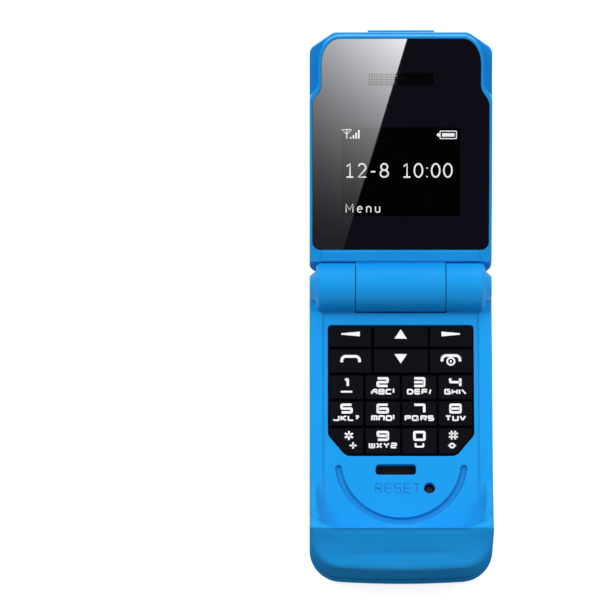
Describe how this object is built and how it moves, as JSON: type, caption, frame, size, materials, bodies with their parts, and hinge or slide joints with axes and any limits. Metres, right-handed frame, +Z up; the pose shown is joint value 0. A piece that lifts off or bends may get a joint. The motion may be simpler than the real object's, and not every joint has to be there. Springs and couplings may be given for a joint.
{
  "type": "flip phone",
  "caption": "Small clamshell mobile phone, lying open: keypad base with raised chin, hinged display lid, slide-off lid cover and lanyard loop.",
  "frame": {"origin": "centre of the flat back of the base, which lies on the table", "axes": "+Z up out of the keypad, hinge axis along X, base toward -Y, open lid toward +Y"},
  "size_m": [0.0286, 0.0831, 0.0292],
  "materials": {
    "blue_case": "satin lacquer on moulded ABS",
    "bright_trim": "brushed bright foil",
    "black_window": "glossy, printed behind",
    "display": "smooth",
    "black_key": "gloss",
    "black_rubber": "matt",
    "black_plastic": "matt",
    "black_mesh": "woven",
    "circuit_board": "solder mask",
    "stamped_steel": "plain",
    "battery_wrap": "foil wrap"
  },
  "bodies": {
    "base": {"base_front_case": "blue_case", "base_rear_case": "blue_case", "main_board": "circuit_board", "shield_can": "stamped_steel", "charging_socket": "stamped_steel", "case_screws": "stamped_steel", "hinge_cam_unit": "stamped_steel", "hinge_pin": "stamped_steel", "battery": "battery_wrap", "vibration_motor": "stamped_steel", "loudspeaker": "black_plastic", "microphone_mesh": "black_mesh", "microphone": "stamped_steel", "antenna_carrier": "black_plastic", "reset_switch": "black_plastic", "key_mat": "black_rubber", "dome_sheet": "stamped_steel"},
    "lid": {"lid_inner_case": "blue_case", "display_window": "black_window", "display_module": "display", "lid_board": "circuit_board", "card_socket": "stamped_steel", "earpiece_receiver": "black_plastic", "earpiece_mesh": "black_mesh"},
    "cover": {"lid_cover": "blue_case", "trim_strip": "bright_trim"},
    "reset_plunger": {"reset_plunger": "black_plastic"},
    "key_soft_left": {"key_soft_left": "black_key"},
    "key_up": {"key_up": "black_key"},
    "key_soft_right": {"key_soft_right": "black_key"},
    "key_call": {"key_call": "black_key"},
    "key_down": {"key_down": "black_key"},
    "key_end": {"key_end": "black_key"},
    "key_1": {"key_1": "black_key"},
    "key_2": {"key_2": "black_key"},
    "key_3": {"key_3": "black_key"},
    "key_4": {"key_4": "black_key"},
    "key_5": {"key_5": "black_key"},
    "key_6": {"key_6": "black_key"},
    "key_7": {"key_7": "black_key"},
    "key_8": {"key_8": "black_key"},
    "key_star": {"key_star": "black_key"},
    "key_9": {"key_9": "black_key"},
    "key_0": {"key_0": "black_key"},
    "key_hash": {"key_hash": "black_key"}
  },
  "joints": [
    {"name": "lid_hinge", "type": "hinge", "parent": "base", "child": "lid", "pos_m": [0, 0.022, 0.0092], "axis": [-1, 0, 0], "range_deg": [-150, 0]},
    {"name": "cover_slide", "type": "slide", "parent": "lid", "child": "cover", "axis": [0, 0.866, 0.5], "range_m": [0, 0.004]},
    {"name": "key_soft_left_press", "type": "slide", "parent": "base", "child": "key_soft_left", "axis": [0, 0, 1], "range_m": [-0.00035, 0], "stiffness_N_per_m": 600},
    {"name": "key_up_press", "type": "slide", "parent": "base", "child": "key_up", "axis": [0, 0, 1], "range_m": [-0.00035, 0], "stiffness_N_per_m": 600},
    {"name": "key_soft_right_press", "type": "slide", "parent": "base", "child": "key_soft_right", "axis": [0, 0, 1], "range_m": [-0.00035, 0], "stiffness_N_per_m": 600},
    {"name": "key_call_press", "type": "slide", "parent": "base", "child": "key_call", "axis": [0, 0, 1], "range_m": [-0.00035, 0], "stiffness_N_per_m": 600},
    {"name": "key_down_press", "type": "slide", "parent": "base", "child": "key_down", "axis": [0, 0, 1], "range_m": [-0.00035, 0], "stiffness_N_per_m": 600},
    {"name": "key_end_press", "type": "slide", "parent": "base", "child": "key_end", "axis": [0, 0, 1], "range_m": [-0.00035, 0], "stiffness_N_per_m": 600},
    {"name": "key_1_press", "type": "slide", "parent": "base", "child": "key_1", "axis": [0, 0, 1], "range_m": [-0.00035, 0], "stiffness_N_per_m": 600},
    {"name": "key_2_press", "type": "slide", "parent": "base", "child": "key_2", "axis": [0, 0, 1], "range_m": [-0.00035, 0], "stiffness_N_per_m": 600},
    {"name": "key_3_press", "type": "slide", "parent": "base", "child": "key_3", "axis": [0, 0, 1], "range_m": [-0.00035, 0], "stiffness_N_per_m": 600},
    {"name": "key_4_press", "type": "slide", "parent": "base", "child": "key_4", "axis": [0, 0, 1], "range_m": [-0.00035, 0], "stiffness_N_per_m": 600},
    {"name": "key_5_press", "type": "slide", "parent": "base", "child": "key_5", "axis": [0, 0, 1], "range_m": [-0.00035, 0], "stiffness_N_per_m": 600},
    {"name": "key_6_press", "type": "slide", "parent": "base", "child": "key_6", "axis": [0, 0, 1], "range_m": [-0.00035, 0], "stiffness_N_per_m": 600},
    {"name": "key_7_press", "type": "slide", "parent": "base", "child": "key_7", "axis": [0, 0, 1], "range_m": [-0.00035, 0], "stiffness_N_per_m": 600},
    {"name": "key_8_press", "type": "slide", "parent": "base", "child": "key_8", "axis": [0, 0, 1], "range_m": [-0.00035, 0], "stiffness_N_per_m": 600},
    {"name": "key_star_press", "type": "slide", "parent": "base", "child": "key_star", "axis": [0, 0, 1], "range_m": [-0.00035, 0], "stiffness_N_per_m": 600},
    {"name": "key_9_press", "type": "slide", "parent": "base", "child": "key_9", "axis": [0, 0, 1], "range_m": [-0.00035, 0], "stiffness_N_per_m": 600},
    {"name": "key_0_press", "type": "slide", "parent": "base", "child": "key_0", "axis": [0, 0, 1], "range_m": [-0.00035, 0], "stiffness_N_per_m": 600},
    {"name": "key_hash_press", "type": "slide", "parent": "base", "child": "key_hash", "axis": [0, 0, 1], "range_m": [-0.00035, 0], "stiffness_N_per_m": 600},
    {"name": "reset_press", "type": "slide", "parent": "base", "child": "reset_plunger", "axis": [0, 0, 1], "range_m": [-0.0002, 0], "stiffness_N_per_m": 400}
  ]
}
